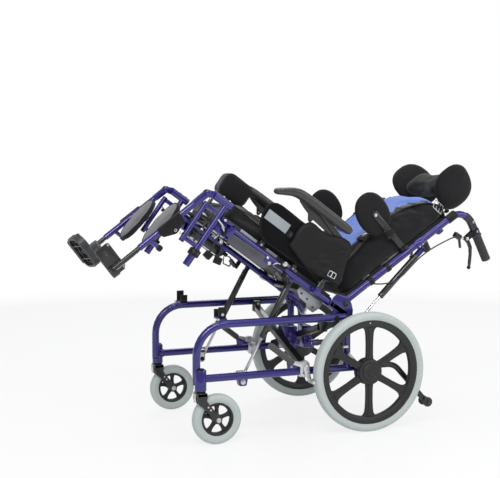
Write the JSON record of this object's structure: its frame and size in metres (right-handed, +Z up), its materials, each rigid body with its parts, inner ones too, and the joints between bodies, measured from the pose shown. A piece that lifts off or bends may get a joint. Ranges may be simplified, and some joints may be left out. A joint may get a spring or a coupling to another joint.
{
  "type": "tilt in space wheelchair",
  "caption": "Tubular wheelchair base with small front casters carrying a tilting padded seat with reclining back, swing-away legrests, flip-up armrests, pommel and winged headrest.",
  "frame": {"origin": "on the floor, under the middle of the whole chair as it is posed at rest", "axes": "the chair faces -X, +X is to its rear, +Z is up, and the occupant's left is -Y"},
  "size_m": [1.4484, 0.61, 0.8978],
  "materials": {
    "blue_paint": "gloss",
    "black_paint": "satin",
    "black_plastic": "satin",
    "tyre": "matte",
    "rubber": "matte",
    "steel": "satin",
    "aluminium": "satin",
    "black_fabric": "matte",
    "blue_fabric": "matte"
  },
  "bodies": {
    "base": {"front_brace_arm": "black_paint", "rear_brace_arm": "black_paint", "brace_hub": "blue_paint", "left_side_frame": "blue_paint", "left_drum_brake": "aluminium", "right_side_frame": "blue_paint", "right_drum_brake": "aluminium"},
    "seat": {"seat_pan": "aluminium", "seat_cushion": "black_fabric", "pommel": "black_fabric", "left_seat_tube": "blue_paint", "left_side_panel": "black_fabric", "right_seat_tube": "blue_paint", "right_side_panel": "black_fabric"},
    "back": {"back_panel": "black_plastic", "back_cushion": "blue_fabric", "left_back_tube": "blue_paint", "left_grip": "rubber", "left_lateral_support": "black_fabric", "right_back_tube": "blue_paint", "right_grip": "rubber", "right_lateral_support": "black_fabric"},
    "headrest": {"headrest": "black_fabric"},
    "left_rear_wheel": {"left_rear_rim": "black_plastic", "left_rear_tyre": "tyre"},
    "left_caster_fork": {"left_caster_fork": "black_paint"},
    "left_caster_wheel": {"left_caster_rim": "black_plastic", "left_caster_tyre": "tyre"},
    "left_anti_tipper": {"left_anti_tipper": "black_paint"},
    "left_wheel_lock": {"left_wheel_lock_lever": "steel"},
    "left_tilt_spring_rod": {"left_tilt_spring_rod": "steel"},
    "left_tilt_spring_cylinder": {"left_tilt_spring_cylinder": "black_paint"},
    "left_recline_spring_rod": {"left_recline_spring_rod": "steel"},
    "left_recline_spring_cylinder": {"left_recline_spring_cylinder": "black_paint"},
    "left_armrest": {"left_armrest": "black_plastic"},
    "left_hanger": {"left_hanger": "blue_paint"},
    "left_legrest": {"left_legrest_tube": "blue_paint", "left_calf_pad": "black_fabric"},
    "left_inner_tube": {"left_inner_tube": "black_paint"},
    "left_footplate": {"left_footplate": "black_plastic"},
    "left_brake_lever": {"left_brake_lever": "black_paint"},
    "right_rear_wheel": {"right_rear_rim": "black_plastic", "right_rear_tyre": "tyre"},
    "right_caster_fork": {"right_caster_fork": "black_paint"},
    "right_caster_wheel": {"right_caster_rim": "black_plastic", "right_caster_tyre": "tyre"},
    "right_anti_tipper": {"right_anti_tipper": "black_paint"},
    "right_wheel_lock": {"right_wheel_lock_lever": "steel"},
    "right_tilt_spring_rod": {"right_tilt_spring_rod": "steel"},
    "right_tilt_spring_cylinder": {"right_tilt_spring_cylinder": "black_paint"},
    "right_recline_spring_rod": {"right_recline_spring_rod": "steel"},
    "right_recline_spring_cylinder": {"right_recline_spring_cylinder": "black_paint"},
    "right_armrest": {"right_armrest": "black_plastic"},
    "right_hanger": {"right_hanger": "blue_paint"},
    "right_legrest": {"right_legrest_tube": "blue_paint", "right_calf_pad": "black_fabric"},
    "right_inner_tube": {"right_inner_tube": "black_paint"},
    "right_footplate": {"right_footplate": "black_plastic"},
    "right_brake_lever": {"right_brake_lever": "black_paint"}
  },
  "joints": [
    {"name": "seat_tilt", "type": "hinge", "parent": "base", "child": "seat", "pos_m": [0.09654, 0, 0.384], "axis": [0, 1, 0], "range_deg": [-36, 0]},
    {"name": "back_recline", "type": "hinge", "parent": "seat", "child": "back", "pos_m": [0.14026, 0, 0.42887], "axis": [0, 1, 0], "range_deg": [-20, 20]},
    {"name": "headrest_height", "type": "slide", "parent": "back", "child": "headrest", "axis": [0.829, 0, 0.5592], "range_m": [0, 0.06]},
    {"name": "left_tilt_spring_swing", "type": "hinge", "parent": "base", "child": "left_tilt_spring_rod", "pos_m": [-0.23146, -0.205, 0.19], "axis": [0, 1, 0], "range_deg": [0, 3.7]},
    {"name": "left_tilt_spring_slide", "type": "slide", "parent": "left_tilt_spring_rod", "child": "left_tilt_spring_cylinder", "axis": [0.48, 0, 0.8773], "range_m": [-0.121, 0]},
    {"name": "left_recline_spring_swing", "type": "hinge", "parent": "seat", "child": "left_recline_spring_rod", "pos_m": [0.17405, -0.205, 0.33757], "axis": [0, 1, 0], "range_deg": [-18.2, 18.2]},
    {"name": "left_recline_spring_slide", "type": "slide", "parent": "left_recline_spring_rod", "child": "left_recline_spring_cylinder", "axis": [0.7143, 0, 0.6999], "range_m": [-0.031, 0.031]},
    {"name": "left_hanger_swing", "type": "hinge", "parent": "seat", "child": "left_hanger", "pos_m": [-0.34033, -0.235, 0.7014], "axis": [0.5878, 0, 0.809], "range_deg": [0, 90]},
    {"name": "left_legrest_lift", "type": "hinge", "parent": "left_hanger", "child": "left_legrest", "pos_m": [-0.35435, -0.235, 0.808], "axis": [0, 1, 0], "range_deg": [0, 60]},
    {"name": "left_leg_length", "type": "slide", "parent": "left_legrest", "child": "left_inner_tube", "axis": [-0.7986, 0, -0.6018], "range_m": [0, 0.06]},
    {"name": "left_footplate_flip", "type": "hinge", "parent": "left_inner_tube", "child": "left_footplate", "pos_m": [-0.65623, -0.219, 0.58052], "axis": [0.6018, 0, -0.7986], "range_deg": [-10, 80]},
    {"name": "left_armrest_flip", "type": "hinge", "parent": "seat", "child": "left_armrest", "pos_m": [0.13171, -0.235, 0.62296], "axis": [0, 1, 0], "range_deg": [0, 95]},
    {"name": "left_brake_squeeze", "type": "hinge", "parent": "back", "child": "left_brake_lever", "pos_m": [0.62341, -0.205, 0.63534], "axis": [0, -1, 0], "range_deg": [0, 14], "stiffness_Nm_per_rad": 0.6, "springref_deg": -20.05},
    {"name": "left_caster_swivel", "type": "hinge", "parent": "base", "child": "left_caster_fork", "pos_m": [-0.38446, -0.251, 0], "axis": [0, 0, 1], "continuous": true},
    {"name": "left_caster_spin", "type": "hinge", "parent": "left_caster_fork", "child": "left_caster_wheel", "pos_m": [-0.33046, -0.251, 0.082], "axis": [0, 1, 0], "continuous": true},
    {"name": "left_rear_wheel_spin", "type": "hinge", "parent": "base", "child": "left_rear_wheel", "pos_m": [0.20154, 0, 0.203], "axis": [0, 1, 0], "continuous": true},
    {"name": "left_wheel_lock_release", "type": "hinge", "parent": "base", "child": "left_wheel_lock", "pos_m": [-0.02446, 0, 0.236], "axis": [0, 1, 0], "range_deg": [0, 50]},
    {"name": "left_anti_tipper_turn", "type": "hinge", "parent": "base", "child": "left_anti_tipper", "pos_m": [0.20154, -0.24, 0.213], "axis": [1, 0, 0], "range_deg": [0, 180]},
    {"name": "right_tilt_spring_swing", "type": "hinge", "parent": "base", "child": "right_tilt_spring_rod", "pos_m": [-0.23146, 0.205, 0.19], "axis": [0, 1, 0], "range_deg": [0, 3.7]},
    {"name": "right_tilt_spring_slide", "type": "slide", "parent": "right_tilt_spring_rod", "child": "right_tilt_spring_cylinder", "axis": [0.48, 0, 0.8773], "range_m": [-0.121, 0]},
    {"name": "right_recline_spring_swing", "type": "hinge", "parent": "seat", "child": "right_recline_spring_rod", "pos_m": [0.17405, 0.205, 0.33757], "axis": [0, 1, 0], "range_deg": [-18.2, 18.2]},
    {"name": "right_recline_spring_slide", "type": "slide", "parent": "right_recline_spring_rod", "child": "right_recline_spring_cylinder", "axis": [0.7143, 0, 0.6999], "range_m": [-0.031, 0.031]},
    {"name": "right_hanger_swing", "type": "hinge", "parent": "seat", "child": "right_hanger", "pos_m": [-0.34033, 0.235, 0.7014], "axis": [-0.5878, 0, -0.809], "range_deg": [0, 90]},
    {"name": "right_legrest_lift", "type": "hinge", "parent": "right_hanger", "child": "right_legrest", "pos_m": [-0.35435, 0.235, 0.808], "axis": [0, 1, 0], "range_deg": [0, 60]},
    {"name": "right_leg_length", "type": "slide", "parent": "right_legrest", "child": "right_inner_tube", "axis": [-0.7986, 0, -0.6018], "range_m": [0, 0.06]},
    {"name": "right_footplate_flip", "type": "hinge", "parent": "right_inner_tube", "child": "right_footplate", "pos_m": [-0.65623, 0.219, 0.58052], "axis": [-0.6018, 0, 0.7986], "range_deg": [-10, 80]},
    {"name": "right_armrest_flip", "type": "hinge", "parent": "seat", "child": "right_armrest", "pos_m": [0.13171, 0.235, 0.62296], "axis": [0, 1, 0], "range_deg": [0, 95]},
    {"name": "right_brake_squeeze", "type": "hinge", "parent": "back", "child": "right_brake_lever", "pos_m": [0.62341, 0.205, 0.63534], "axis": [0, -1, 0], "range_deg": [0, 14], "stiffness_Nm_per_rad": 0.6, "springref_deg": -20.05},
    {"name": "right_caster_swivel", "type": "hinge", "parent": "base", "child": "right_caster_fork", "pos_m": [-0.38446, 0.251, 0], "axis": [0, 0, 1], "continuous": true},
    {"name": "right_caster_spin", "type": "hinge", "parent": "right_caster_fork", "child": "right_caster_wheel", "pos_m": [-0.33046, 0.251, 0.082], "axis": [0, 1, 0], "continuous": true},
    {"name": "right_rear_wheel_spin", "type": "hinge", "parent": "base", "child": "right_rear_wheel", "pos_m": [0.20154, 0, 0.203], "axis": [0, 1, 0], "continuous": true},
    {"name": "right_wheel_lock_release", "type": "hinge", "parent": "base", "child": "right_wheel_lock", "pos_m": [-0.02446, 0, 0.236], "axis": [0, 1, 0], "range_deg": [0, 50]},
    {"name": "right_anti_tipper_turn", "type": "hinge", "parent": "base", "child": "right_anti_tipper", "pos_m": [0.20154, 0.24, 0.213], "axis": [-1, 0, 0], "range_deg": [0, 180]}
  ],
  "couplings": [
    {"joint": "left_tilt_spring_swing", "follows": "seat_tilt", "ratio": -0.10077},
    {"joint": "left_tilt_spring_slide", "follows": "seat_tilt", "m_per_rad": 0.19151},
    {"joint": "left_recline_spring_swing", "follows": "back_recline", "ratio": 0.89931},
    {"joint": "left_recline_spring_slide", "follows": "back_recline", "m_per_rad": -0.087557},
    {"joint": "right_tilt_spring_swing", "follows": "seat_tilt", "ratio": -0.10077},
    {"joint": "right_tilt_spring_slide", "follows": "seat_tilt", "m_per_rad": 0.19151},
    {"joint": "right_recline_spring_swing", "follows": "back_recline", "ratio": 0.89931},
    {"joint": "right_recline_spring_slide", "follows": "back_recline", "m_per_rad": -0.087557}
  ]
}
